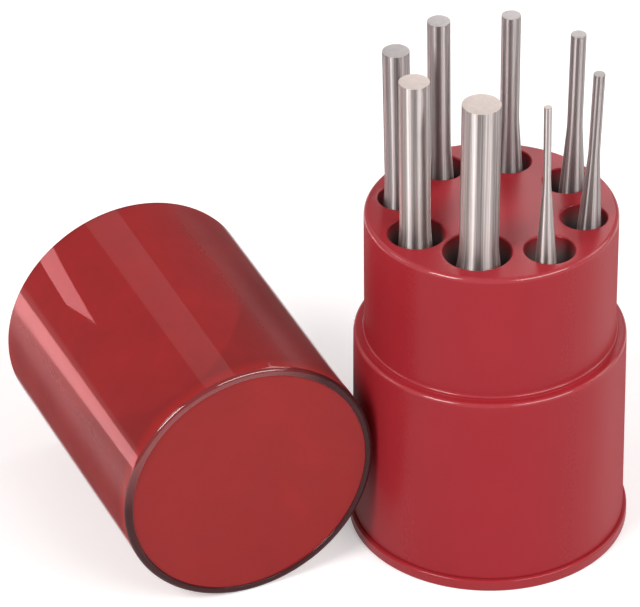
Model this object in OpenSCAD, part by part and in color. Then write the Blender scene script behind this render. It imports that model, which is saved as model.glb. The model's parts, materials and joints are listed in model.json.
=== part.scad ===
// Drive pin punch set: eight straight-pin punches standing in a round two-step
// plastic holder, with the clear cap taken off and lying beside it.
// Millimetres. Origin: centre of the holder's foot on the table. +Z up.
// The set is seen from -Y; the cap lies to the left and in front of the holder.

/* [Holder] */
// Diameter of the upper section, which the cap slides over
upper_d = 52.32; // [50:0.02:54]
// Width of the step between the upper and the lower section
step_out = 2.265; // [1.8:0.005:4]
// How much wider the lower section is at the foot plate than at the shoulder (mould draft)
lower_draft = 0.6; // [0:0.05:1.2]
// Height of the holder's top face above the table
holder_h = 75.7; // [70:0.1:82]
// Height of the shoulder above the table
shoulder_h = 46.7; // [40:0.1:52]
// Rounding of the top rim
top_round = 0.7; // [0.2:0.05:1.5]
// Rounding of the shoulder's outer edge
shoulder_round = 0.4; // [0.1:0.05:0.9]
// How far the centring ledge stands out of the upper section
ledge_out = 0.4; // [0.1:0.05:0.45]
// Height of the centring ledge on the shoulder
ledge_h = 0.8; // [0.3:0.05:1.5]
// Depth of the recess under the holder that takes the foot plate's spigot
recess_h = 2.0; // [1:0.1:4]

/* [Sockets] */
// Gap round the grip in the common sockets, for the medium stock
socket_play = 0.83; // [0.5:0.01:1.2]
// Gap round the grip in the socket for the 1/16 punch
socket_play_1_16 = 2.025; // [1.2:0.025:2.2]
// Gap round the grip in the socket for the 1/4 punch
socket_play_1_4 = 1.14; // [0.6:0.02:1.4]
// Gap round the grip in the socket for the 5/16 punch
socket_play_5_16 = 0.65; // [0.5:0.05:0.95]
// Ring of the common sockets, as a share of the upper diameter
ring_share = 0.3632; // [0.35:0.0002:0.372]
// Place of the 1/16 socket, as a share of the upper diameter
ring_share_1_16 = 0.3593; // [0.35:0.0001:0.368]
// Place of the 1/4 socket, as a share of the upper diameter
ring_share_1_4 = 0.3383; // [0.33:0.0001:0.352]
// Place of the 5/16 socket, as a share of the upper diameter
ring_share_5_16 = 0.302; // [0.295:0.0005:0.315]
// Direction of the 5/16 socket, seen from above
first_angle = -102.5; // [-115:0.5:-90]
// Angle between the 5/16 socket and each of its neighbours
wide_step = 49; // [47:0.25:52]
// Height of the socket floors above the table
socket_floor = 8.6; // [6:0.1:14]
// Rounding of the socket mouths
mouth_round = 0.35; // [0.1:0.05:0.8]

/* [Foot plate] */
// How far the foot plate stands out all round under the holder
foot_out = 0.805; // [0.4:0.005:2]
// Thickness of the foot plate
foot_h = 2.6; // [1.5:0.1:4]
// Rounding of the foot plate's edges
foot_round = 0.45; // [0.1:0.05:0.9]
// Width of the holder's wall that rests on the foot plate round the spigot
foot_land = 4.425; // [2:0.025:8]
// Height of the spigot
spigot_h = 1.7; // [0.8:0.1:3.6]
// Radial gap round the spigot
spigot_gap = 0.3; // [0.2:0.05:0.6]

/* [Punches] */
// Overall length of every punch
punch_length = 101.6; // [98:0.1:103]
// Gap under the punch heads on the socket floors
head_seat = 0.4; // [0.3:0.05:0.8]
// Pin diameter of the 1/16 inch punch
pin_1_16 = 1.5875; // [1.4:0.0125:1.8]
// Pin diameter of the 3/32 inch punch
pin_3_32 = 2.38125; // [2.2:0.00625:2.6]
// Pin diameter of the 1/8 inch punch
pin_1_8 = 3.175; // [3:0.025:3.4]
// Pin diameter of the 5/32 inch punch
pin_5_32 = 3.96875; // [3.8:0.00625:4.2]
// Pin diameter of the 3/16 inch punch
pin_3_16 = 4.7625; // [4.6:0.0125:5]
// Pin diameter of the 7/32 inch punch
pin_7_32 = 5.55625; // [5.4:0.00625:5.8]
// Pin diameter of the 1/4 inch punch
pin_1_4 = 6.35; // [6.2:0.025:6.6]
// Pin diameter of the 5/16 inch punch
pin_5_16 = 7.9375; // [7.8:0.0125:8.2]
// Straight length of the 1/16 pin
reach_1_16 = 16; // [10:0.5:22]
// Straight length of the 3/32 pin
reach_3_32 = 17.5; // [12:0.5:24]
// Straight length of the 1/8 pin
reach_1_8 = 20; // [14:0.5:26]
// Straight length of the 5/32 pin
reach_5_32 = 23; // [16:0.5:28]
// Straight length of the 3/16 pin
reach_3_16 = 28; // [20:0.5:32]
// Straight length of the 7/32 pin
reach_7_32 = 30; // [22:0.5:34]
// Straight length of the 1/4 pin
reach_1_4 = 32; // [24:0.5:36]
// Straight length of the 5/16 pin
reach_5_16 = 31.5; // [24:0.5:36]
// Grip diameter of the four thinnest punches, over the knurl
stock_small = 6.35; // [6:0.05:6.6]
// Grip diameter of the 3/16 and 7/32 punches, over the knurl
stock_medium = 7.94; // [7.6:0.02:8.1]
// Grip diameter of the 1/4 punch, over the knurl
stock_large = 9.52; // [9:0.02:9.7]
// Grip diameter of the 5/16 punch, over the knurl
stock_heavy = 12.7; // [12:0.05:12.8]
// Growth in diameter along the slender tapers, in mm per mm
taper_rate = 0.14; // [0.1:0.01:0.2]
// Growth in diameter along the 5/16 punch's shorter taper, in mm per mm
taper_rate_heavy = 0.26; // [0.15:0.01:0.4]
// Radius of the blend from pin to taper
blend_r = 45; // [10:1:80]
// How much the plain ends of the grip lie below the knurl, on the diameter
plain_drop = 0.2; // [0:0.05:0.4]
// Plain length between the head and the knurl
knurl_start = 9; // [5:0.5:14]
// Length of the knurled band, as a share of the punch
knurl_share = 0.2756; // [0.15:0.0004:0.31]
// Bevel of the struck head
head_bevel = 0.9; // [0.4:0.1:1.6]
// Crown of the struck head
head_crown = 0.15; // [0:0.05:0.4]
// Bevel of the working tip
tip_bevel = 0.1; // [0.05:0.05:0.2]

/* [How the punches stand] */
// Lean of the 1/16 punch, as a share of what its socket allows
lean_1_16 = 0.336; // [0:0.001:0.45]
// Lean of the 3/32 punch, as a share of what its socket allows
lean_3_32 = 0.793; // [0:0.001:0.83]
// Lean of the 1/8 punch, as a share of what its socket allows
lean_1_8 = 0.346; // [0:0.001:0.4]
// Lean of the 5/32 punch, as a share of what its socket allows
lean_5_32 = 0.061; // [0:0.001:0.22]
// Lean of the 3/16 punch, as a share of what its socket allows
lean_3_16 = 0.423; // [0:0.001:0.49]
// Lean of the 7/32 punch, as a share of what its socket allows
lean_7_32 = 0.635; // [0:0.001:0.7]
// Lean of the 1/4 punch, as a share of what its socket allows
lean_1_4 = 0.719; // [0:0.001:0.77]
// Lean of the 5/16 punch, as a share of what its socket allows
lean_5_16 = 0.414; // [0:0.001:0.45]

/* [Cap] */
// Space between the punch tips and the cap's end wall when the cap is on
cap_headroom = 1.2; // [0.5:0.1:4]
// Gap between the cap's bore and the holder's centring ledge
cap_fit = 0.14; // [0.06:0.01:0.3]
// Wall of the cap at its mouth
cap_wall_mouth = 1.35; // [1:0.05:1.7]
// Wall of the cap at its closed end
cap_wall_end = 0.9; // [0.75:0.05:1.3]
// Thickness of the cap's end wall
cap_end_wall = 1.5; // [1:0.1:2.5]
// Depth of the end wall inside the cap's end rim
cap_end_recess = 0.5; // [0.2:0.1:1.2]
// Width of the cap's end rim
cap_rim_w = 1.7; // [1:0.1:3]
// Rounding of the cap's outer end edge
cap_round = 0.5; // [0.2:0.05:0.9]
// Rounding inside the corner of the bore and the end wall
cap_corner = 1.2; // [0.3:0.1:2]
// Rounding of the mouth edges
cap_lip_round = 0.3; // [0.1:0.05:0.5]

/* [Where the cap lies] */
// Gap between the lying cap and the holder's lower section
cap_gap = 0.62; // [0.4:0.02:8]
// How far the cap's closed end lies past the holder's axis
cap_past = 6.07; // [0:0.01:20]
// Direction the closed end faces, seen from above
cap_turn = -66.7; // [-80:0.5:-60]

/* [Hidden] */
$fn = 96;

// Holder sections as radii.
upper_r = upper_d / 2;
lower_r_top = upper_r + step_out;
lower_r_low = lower_r_top + lower_draft / 2;

// Foot plate as radii.
foot_r = lower_r_low + foot_out;
recess_r = lower_r_low - foot_land;
spigot_r = recess_r - spigot_gap;

// Sockets: diameters from the grips they hold, places from the holder's top.
socket_d = stock_medium + 2 * socket_play;
socket_d_1_16 = stock_small + 2 * socket_play_1_16;
socket_d_1_4 = stock_large + 2 * socket_play_1_4;
socket_d_5_16 = stock_heavy + 2 * socket_play_5_16;
socket_r = upper_d * ring_share;
socket_r_1_16 = upper_d * ring_share_1_16;
socket_r_1_4 = upper_d * ring_share_1_4;
socket_r_5_16 = upper_d * ring_share_5_16;

// The six steps that are left between the small sockets are equal.
small_step = (360 - 2 * wide_step) / 6;
angle_5_16 = first_angle;
angle_1_4 = first_angle - wide_step;
angle_7_32 = angle_1_4 - small_step;
angle_3_16 = angle_1_4 - 2 * small_step;
angle_5_32 = angle_1_4 - 3 * small_step;
angle_1_8 = angle_1_4 - 4 * small_step;
angle_3_32 = angle_1_4 - 5 * small_step;
angle_1_16 = angle_1_4 - 6 * small_step;

// Height of the middle of every punch head, and the knurled band's length.
stand_z = socket_floor + head_seat;
knurl_length = punch_length * knurl_share;

// The cap slides over the centring ledge, stands on the shoulder and clears the tips.
cap_bore = 2 * (upper_r + ledge_out + cap_fit);
cap_d_mouth = cap_bore + 2 * cap_wall_mouth;
cap_d_end = cap_bore + 2 * cap_wall_end;
cap_length = stand_z + punch_length + cap_headroom + cap_end_wall + cap_end_recess - shoulder_h;

// The cap rests along one line of its slightly conical wall, beside the holder.
cap_half_angle = atan((cap_d_mouth - cap_d_end) / 2 / cap_length);
cap_away = lower_r_low + cap_gap + cap_d_end / 2;
cap_x = cap_away * sin(cap_turn) + cap_past * cos(cap_turn);
cap_y = cap_past * sin(cap_turn) - cap_away * cos(cap_turn);

// Colours of the plain solids.
holder_red = [0.62, 0.05, 0.07];
cap_red = [0.45, 0.03, 0.04, 0.55];
steel = [0.70, 0.68, 0.67];

// Points on an arc round [cx, cy] from angle a0 to a1 in n steps.
function arc(cx, cy, r, a0, a1, n) =
    [for (i = [0:n]) [cx + r * cos(a0 + (a1 - a0) * i / n), cy + r * sin(a0 + (a1 - a0) * i / n)]];

// Half section of the holder moulding without its sockets.
function holder_section() = concat(
    [[0, foot_h + recess_h], [recess_r, foot_h + recess_h], [recess_r, foot_h]],
    [[lower_r_low, foot_h]],
    arc(lower_r_top - shoulder_round, shoulder_h - shoulder_round, shoulder_round, 0, 90, 5),
    [[upper_r + ledge_out, shoulder_h]],
    arc(upper_r + ledge_out - ledge_h / 3, shoulder_h + ledge_h * 2 / 3, ledge_h / 3, 0, 90, 4),
    [[upper_r, shoulder_h + ledge_h]],
    arc(upper_r - top_round, holder_h - top_round, top_round, 0, 90, 6),
    [[0, holder_h]]
);

// Half section of the foot plate with its spigot.
function foot_section() = concat(
    [[0, 0]],
    arc(foot_r - foot_round, foot_round, foot_round, -90, 0, 5),
    arc(foot_r - foot_round, foot_h - foot_round, foot_round, 0, 90, 5),
    [[spigot_r, foot_h], [spigot_r, foot_h + spigot_h - 0.3]],
    [[spigot_r - 0.3, foot_h + spigot_h], [0, foot_h + spigot_h]]
);

// Half section of the cap, closed end at z = 0 and mouth at z = cap_length.
function cap_section() = concat(
    [[0, cap_end_recess], [cap_d_end / 2 - cap_rim_w, cap_end_recess]],
    [[cap_d_end / 2 - cap_rim_w + 0.25, 0]],
    arc(cap_d_end / 2 - cap_round, cap_round, cap_round, -90, 0, 5),
    arc(cap_d_mouth / 2 - cap_lip_round, cap_length - cap_lip_round, cap_lip_round, 0, 90, 4),
    arc(cap_bore / 2 + cap_lip_round, cap_length - cap_lip_round, cap_lip_round, 90, 180, 4),
    arc(cap_bore / 2 - cap_corner, cap_end_recess + cap_end_wall + cap_corner, cap_corner, 0, -90, 6),
    [[0, cap_end_recess + cap_end_wall]]
);

// Half section of a punch: head at z = 0, tip at z = punch_length.
// The pin runs straight, bends along an arc of blend_r into the taper, and the
// taper ends where it meets the plain part of the grip.
function punch_section(pin, reach, stock, rate) =
    let (plain_r = (stock - plain_drop) / 2)
    let (half = atan(rate / 2))
    let (bend_z = punch_length - reach)
    let (bend_r = pin / 2 + blend_r)
    let (low_r = bend_r - blend_r * cos(half))
    let (low_z = bend_z - blend_r * sin(half))
    let (body_z = low_z - (plain_r - low_r) / tan(half))
    concat(
        [[0, 0], [plain_r - head_bevel, head_crown], [plain_r, head_bevel + head_crown]],
        [[plain_r, knurl_start], [stock / 2, knurl_start + plain_drop]],
        [[stock / 2, knurl_start + knurl_length], [plain_r, knurl_start + knurl_length + plain_drop]],
        [[plain_r, body_z]],
        [for (i = [0:6]) [bend_r - blend_r * cos(half * (6 - i) / 6), bend_z - blend_r * sin(half * (6 - i) / 6)]],
        [[pin / 2, punch_length - tip_bevel], [pin / 2 - tip_bevel, punch_length], [0, punch_length]]
    );

// One socket with a rounded mouth, cut out of the holder.
module socket(angle, r, d) {
    rotate([0, 0, angle])
        translate([r, 0, 0])
            rotate_extrude($fn = 64)
                polygon(concat(
                    [[0, socket_floor], [d / 2, socket_floor]],
                    [for (i = [0:4]) [d / 2 + mouth_round * (1 - cos(90 * i / 4)),
                                      holder_h - mouth_round * (1 - sin(90 * i / 4))]],
                    [[d / 2 + mouth_round, holder_h + 1], [0, holder_h + 1]]
                ));
}

// A turned punch standing in its socket: angle and r place the socket and d is
// its diameter. The grip's play in the socket sets how far the head stands off
// the socket's axis (share_x, share_y) and how far the punch leans towards dir.
module standing_punch(angle, r, d, share_x, share_y, lean, dir, pin, reach, stock, rate) {
    play = (d - stock) / 2;
    full_lean = atan(2 * play / (holder_h - socket_floor));
    translate([r * cos(angle) + share_x * play, r * sin(angle) + share_y * play, stand_z])
        rotate([0, 0, dir])
            rotate([0, lean * full_lean, 0])
                rotate_extrude($fn = 64)
                    polygon(punch_section(pin, reach, stock, rate));
}

module holder() {
    color(holder_red)
        difference() {
            rotate_extrude($fn = 160)
                polygon(holder_section());
            socket(angle_5_16, socket_r_5_16, socket_d_5_16);
            socket(angle_1_4, socket_r_1_4, socket_d_1_4);
            socket(angle_7_32, socket_r, socket_d);
            socket(angle_3_16, socket_r, socket_d);
            socket(angle_5_32, socket_r, socket_d);
            socket(angle_1_8, socket_r, socket_d);
            socket(angle_3_32, socket_r, socket_d);
            socket(angle_1_16, socket_r_1_16, socket_d_1_16);
        }
}

module foot_plate() {
    color(holder_red)
        rotate_extrude($fn = 160)
            polygon(foot_section());
}

module cap() {
    color(cap_red)
        translate([cap_x, cap_y, cap_d_end / 2 * cos(cap_half_angle)])
            rotate([0, 0, cap_turn])
                rotate([0, -90 + cap_half_angle, 0])
                    rotate_extrude($fn = 160)
                        polygon(cap_section());
}

module punch_1_16() {
    color(steel)
        standing_punch(angle_1_16, socket_r_1_16, socket_d_1_16, -0.158, 0.01, lean_1_16, -111,
                       pin_1_16, reach_1_16, stock_small, taper_rate);
}

module punch_3_32() {
    color(steel)
        standing_punch(angle_3_32, socket_r, socket_d, -0.615, 0.505, lean_3_32, -33,
                       pin_3_32, reach_3_32, stock_small, taper_rate);
}

module punch_1_8() {
    color(steel)
        standing_punch(angle_1_8, socket_r, socket_d, 0.16, -0.129, lean_1_8, 17,
                       pin_1_8, reach_1_8, stock_small, taper_rate);
}

module punch_5_32() {
    color(steel)
        standing_punch(angle_5_32, socket_r, socket_d, 0.043, 0, lean_5_32, 49,
                       pin_5_32, reach_5_32, stock_small, taper_rate);
}

module punch_3_16() {
    color(steel)
        standing_punch(angle_3_16, socket_r, socket_d, 0.361, -0.012, lean_3_16, 150,
                       pin_3_16, reach_3_16, stock_medium, taper_rate);
}

module punch_7_32() {
    color(steel)
        standing_punch(angle_7_32, socket_r, socket_d, 0.602, -0.108, lean_7_32, 171,
                       pin_7_32, reach_7_32, stock_medium, taper_rate);
}

module punch_1_4() {
    color(steel)
        standing_punch(angle_1_4, socket_r_1_4, socket_d_1_4, 0.219, -0.675, lean_1_4, 107,
                       pin_1_4, reach_1_4, stock_large, taper_rate);
}

module punch_5_16() {
    color(steel)
        standing_punch(angle_5_16, socket_r_5_16, socket_d_5_16, -0.246, 0.154, lean_5_16, -32,
                       pin_5_16, reach_5_16, stock_heavy, taper_rate_heavy);
}

holder();
foot_plate();
cap();
punch_1_16();
punch_3_32();
punch_1_8();
punch_5_32();
punch_3_16();
punch_7_32();
punch_1_4();
punch_5_16();
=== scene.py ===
"""Looks of a drive pin punch set: eight ground steel punches in a round red holder, its cap beside it.

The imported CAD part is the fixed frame. Everything is in metres, +Z up, with the holder's foot at the
origin. Each class builds one sub-assembly from surfaces worked out with numpy and dresses it in a finish
of its own.
"""

import json
import logging
import math
from collections.abc import Callable
from dataclasses import dataclass, field, replace
from enum import Enum

import bmesh
import bpy
import numpy as np
from mathutils import Matrix, Vector
from mathutils.bvhtree import BVHTree
from mathutils.geometry import delaunay_2d_cdt


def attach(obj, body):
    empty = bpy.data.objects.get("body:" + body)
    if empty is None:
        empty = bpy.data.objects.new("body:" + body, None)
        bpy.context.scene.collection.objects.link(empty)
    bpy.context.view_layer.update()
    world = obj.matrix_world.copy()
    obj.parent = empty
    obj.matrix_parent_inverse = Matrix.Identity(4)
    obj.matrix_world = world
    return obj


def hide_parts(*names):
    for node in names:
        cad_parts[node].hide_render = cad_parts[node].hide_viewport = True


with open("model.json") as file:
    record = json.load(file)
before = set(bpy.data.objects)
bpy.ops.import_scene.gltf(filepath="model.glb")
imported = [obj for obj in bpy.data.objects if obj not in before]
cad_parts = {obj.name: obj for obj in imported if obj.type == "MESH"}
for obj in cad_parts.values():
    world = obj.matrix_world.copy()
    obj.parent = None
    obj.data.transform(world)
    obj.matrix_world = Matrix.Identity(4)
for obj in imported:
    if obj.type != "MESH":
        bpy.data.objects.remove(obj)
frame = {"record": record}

LOG = logging.getLogger("punch_set")
MM = 0.001
INCH = 25.4 * MM
HAIR = 0.01 * MM  # allowance when a height or radius is compared
SAME_PLACE = 1e-7  # distance within which the triangulation takes two points for one
PHOTO_SIZE = (640, 607)
TURNED_UV = "turned"
SHARP_DEGREES = 40.0
Points = np.ndarray


class CadNode(Enum):
    """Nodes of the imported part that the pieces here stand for."""

    HOLDER = "holder"
    FOOT_PLATE = "foot_plate"
    CAP = "cap"


class Slot(Enum):
    """Material slots of the record."""

    HOLDER = "holder_plastic"
    FOOT = "foot_plastic"
    CAP = "cap_plastic"
    STEEL = "punch_steel"


class Mark(Enum):
    """Names of the per-vertex attributes that the finishes read."""

    EDGE = "edge_wear"
    SHADE = "inside_shade"
    KNURL = "knurl_height"
    FACE = "end_face"


def linear(hex_code: str) -> tuple[float, float, float, float]:
    """Turns an sRGB hex colour into linear RGBA.

    Args:
        hex_code: Colour as "#RRGGBB".

    Returns:
        Linear red, green and blue, and an alpha of 1.
    """
    channels = np.array([int(hex_code[i : i + 2], 16) for i in (1, 3, 5)]) / 255
    values = np.where(channels <= 0.04045, channels / 12.92, ((channels + 0.055) / 1.055) ** 2.4)
    return (*(float(v) for v in values), 1.0)


def add_node(
    tree: bpy.types.NodeTree, kind: str, inputs: dict | None = None, **settings: object
) -> bpy.types.Node:
    """Adds one node with its settings, and its inputs set or linked.

    Args:
        tree: Node tree that takes the node.
        kind: Blender's node type.
        inputs: Input name or index to a value, or to an output socket to link.
        settings: Properties of the node itself.

    Returns:
        The new node.
    """
    made = tree.nodes.new(kind)
    for name, value in settings.items():
        setattr(made, name, value)
    for name, value in (inputs or {}).items():
        if isinstance(value, bpy.types.NodeSocket):
            tree.links.new(value, made.inputs[name])
        else:
            made.inputs[name].default_value = value
    return made


@dataclass
class Surface:
    """A mesh as whole arrays: points, quads, triangles, and a UV pair and marks for each point.

    The UV pair is (length along the profile, distance round the axis), both in metres on the surface,
    so a pattern can run round a turned piece or along it.
    """

    points: Points
    quads: Points
    tris: Points
    uv: Points
    marks: dict[Mark, Points] = field(default_factory=dict)

    def moved(self, matrix: Matrix) -> "Surface":
        """Returns the surface carried by a 4 by 4 matrix."""
        m = np.array(matrix, float)
        return replace(self, points=self.points @ m[:3, :3].T + m[:3, 3])

    def radii(self) -> Points:
        """Distance of every point from the Z axis."""
        return np.hypot(self.points[:, 0], self.points[:, 1])

    def joined(self, other: "Surface") -> "Surface":
        """Returns this surface and another as one; marks that one of them lacks are 0 there.

        Args:
            other: Surface to add.

        Returns:
            The joined surface.
        """
        shift, marks = len(self.points), {}
        for mark in {**self.marks, **other.marks}:
            parts = [s.marks.get(mark, np.zeros(len(s.points))) for s in (self, other)]
            marks[mark] = np.concatenate(parts)
        return Surface(
            np.vstack([self.points, other.points]),
            np.vstack([self.quads, other.quads + shift]),
            np.vstack([self.tris, other.tris + shift]),
            np.vstack([self.uv, other.uv]),
            marks,
        )


def arc(cx: float, cy: float, r: float, a0: float, a1: float, n: int) -> Points:
    """Points on an arc: centre plus r times (cos a, sin a), with a from a0 to a1 in n equal steps.

    Args:
        cx: Centre, first coordinate.
        cy: Centre, second coordinate.
        r: Radius.
        a0: First angle in degrees.
        a1: Last angle in degrees.
        n: Number of steps.

    Returns:
        n + 1 points.
    """
    a = np.radians(np.linspace(a0, a1, n + 1))
    return np.stack([cx + r * np.cos(a), cy + r * np.sin(a)], 1)


def ramp(start: tuple[float, float], end: tuple[float, float], n: int) -> Points:
    """n points evenly from start towards end, without end itself."""
    t = np.linspace(0, 1, n, endpoint=False)[:, None]
    return np.array(start) * (1 - t) + np.array(end) * t


def revolve(profile: Points, segments: int, radius: Callable | None = None) -> Surface:
    """Turns a profile of (radius, height) rows round Z.

    The point at row i and angle a is (r cos a, r sin a, z), with r from the profile or from
    radius(row, angle). A row with a radius of 0 closes on one pole. Faces point to the right of the
    profile's way, so one that goes out, up and back in encloses a solid.

    Args:
        profile: Rows of (radius, height).
        segments: Number of steps round the axis.
        radius: Optional function of a column of row numbers and a row of angles that gives every radius.

    Returns:
        The turned surface.
    """
    open_start, open_end = profile[0, 0] > 0, profile[-1, 0] > 0
    kept = slice(0 if open_start else 1, None if open_end else -1)
    rings = profile[kept]
    turn = np.arange(segments) * (2 * np.pi / segments)
    r = np.repeat(rings[:, :1], segments, 1)
    if radius is not None:
        r = radius(np.arange(len(rings))[:, None] + (not open_start), turn[None])
    grid = np.stack([r * np.cos(turn), r * np.sin(turn), np.repeat(rings[:, 1:], segments, 1)], 2)
    along = np.concatenate([[0], np.cumsum(np.hypot(*np.diff(profile, axis=0).T))])
    inner = along[kept]
    reach = float(rings[:, 0].max())
    uv = np.stack(
        [np.repeat(inner[:, None], segments, 1), np.repeat(turn[None] * reach, len(inner), 0)], 2
    ).reshape(-1, 2)
    points = grid.reshape(-1, 3)
    i, j = np.meshgrid(np.arange(len(rings) - 1), np.arange(segments), indexing="ij")
    k = (j + 1) % segments
    quads = np.stack(
        [i * segments + j, i * segments + k, (i + 1) * segments + k, (i + 1) * segments + j], 2
    ).reshape(-1, 4)
    tris, j = [], np.arange(segments)
    k = (j + 1) % segments
    if not open_start:
        tris.append(np.stack([np.full(segments, len(points)), k, j], 1))
        points = np.vstack([points, [0, 0, profile[0, 1]]])
        uv = np.vstack([uv, [along[0], 0]])
    if not open_end:
        last = (len(rings) - 1) * segments
        tris.append(np.stack([np.full(segments, len(points)), last + j, last + k], 1))
        points = np.vstack([points, [0, 0, profile[-1, 1]]])
        uv = np.vstack([uv, [along[-1], 0]])
    return Surface(points, quads, np.vstack(tris) if tris else np.zeros((0, 3), int), uv)


def flat_plate(
    outer: float,
    holes: list[tuple[float, float, float]],
    z: float,
    sides: tuple[int, int],
    steps: int = 16,
    margins: tuple[float, float] = (0.7, 0.6),
) -> Surface:
    """A flat round face with round holes, triangulated between its rings and a grid of inner points.

    Args:
        outer: Radius of the plate.
        holes: Centre x, centre y and radius of each hole.
        z: Height of the face.
        sides: Number of sides of the outer ring and of each hole.
        steps: Number of grid steps from the middle to the outer ring.
        margins: Least distance of a grid point from the outer ring and from a hole, in grid steps.

    Returns:
        The face, pointing up.
    """
    rings = [arc(0, 0, outer, 0, 360, sides[0])[:-1]]
    rings += [arc(x, y, r, 0, 360, sides[1])[:-1] for x, y, r in holes]
    pitch = outer / steps
    g = np.arange(-steps, steps + 1) * pitch
    grid = np.stack(np.meshgrid(g, g), 2).reshape(-1, 2)
    keep = np.hypot(*grid.T) < outer - margins[0] * pitch
    for x, y, r in holes:
        keep &= np.hypot(grid[:, 0] - x, grid[:, 1] - y) > r + margins[1] * pitch
    edges, start = [], 0
    for ring in rings:
        n = np.arange(len(ring))
        edges.append(np.stack([start + n, start + (n + 1) % len(ring)], 1))
        start += len(ring)
    flat = np.vstack([*rings, grid[keep]])
    made = delaunay_2d_cdt([Vector(p) for p in flat], np.vstack(edges).tolist(), [], 0, SAME_PLACE)
    points = np.array([(v.x, v.y) for v in made[0]])
    tris = np.array([f for f in made[2] if len(f) == 3])
    middle = points[tris].mean(1)
    inside = np.hypot(*middle.T) < outer
    flats = math.cos(math.pi / sides[1])
    for x, y, r in holes:
        inside &= np.hypot(middle[:, 0] - x, middle[:, 1] - y) > r * flats
    tris = tris[inside]
    a, b, c = (points[tris[:, n]] for n in range(3))
    (ux, uy), (vx, vy) = (b - a).T, (c - a).T
    tris = np.where((ux * vy - uy * vx)[:, None] < 0, tris[:, ::-1], tris)
    return Surface(
        np.column_stack([points, np.full(len(points), z)]), np.zeros((0, 4), int), tris, points.copy()
    )


def make_object(
    name: str, surface: Surface, material: bpy.types.Material, weld: float = 0.0
) -> bpy.types.Object:
    """Makes a Blender object at the origin, with smooth faces, sharp corners and weighted normals.

    Args:
        name: Name of the piece.
        surface: Points, faces, UV and marks.
        material: Finish of the whole piece.
        weld: Distance within which points of joined surfaces become one, or 0.

    Returns:
        The new object.
    """
    mesh = bpy.data.meshes.new(name)
    faces = surface.quads.tolist() + surface.tris.tolist()
    mesh.from_pydata(surface.points.tolist(), [], faces)
    order = np.concatenate([surface.quads.ravel(), surface.tris.ravel()])
    layer = mesh.uv_layers.new(name=TURNED_UV)
    pairs = surface.uv[order].copy()
    wrap = float(surface.uv[:, 1].max())
    corners = 4 * len(surface.quads)
    # A quad that closes the ring carries its distance round the axis on past the last point.
    round_way = pairs[:corners, 1].reshape(-1, 4)
    round_way[round_way.max(1, keepdims=True) - round_way > wrap / 2] += wrap
    pairs[:corners, 1] = round_way.ravel()
    layer.data.foreach_set("uv", pairs.astype(np.float32).ravel())
    for mark, values in surface.marks.items():
        layer_of = mesh.attributes.new(mark.value, "FLOAT", "POINT")
        layer_of.data.foreach_set("value", values.astype(np.float32))
    mesh.materials.append(material)
    made = bpy.data.objects.new(name, mesh)
    bpy.context.scene.collection.objects.link(made)
    if weld:
        weld_points(mesh, weld)
    mesh.shade_smooth()
    mesh.set_sharp_from_angle(angle=math.radians(SHARP_DEGREES))
    normals = made.modifiers.new("even_shading", "WEIGHTED_NORMAL")
    normals.keep_sharp = True
    return made


def weld_points(mesh: bpy.types.Mesh, distance: float) -> None:
    """Merges the points of a mesh that lie within a distance of each other.

    Args:
        mesh: Mesh to change.
        distance: Largest distance between merged points.
    """
    work = bmesh.new()
    work.from_mesh(mesh)
    bmesh.ops.remove_doubles(work, verts=work.verts, dist=distance)
    work.to_mesh(mesh)
    work.free()


# ----------------------------------------------------------------------------------------- finishes


@dataclass(frozen=True)
class Grain:
    """One noise pattern: the size of its patches, its finer octaves and how strongly they show."""

    size: float
    octaves: float
    breakup: float

    def at(self, place: bpy.types.NodeSocket) -> dict[str, object]:
        """Inputs of a noise node that draws this pattern at the places a socket gives."""
        return {
            "Vector": place,
            "Scale": 1 / self.size,
            "Detail": self.octaves,
            "Roughness": self.breakup,
        }


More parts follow.
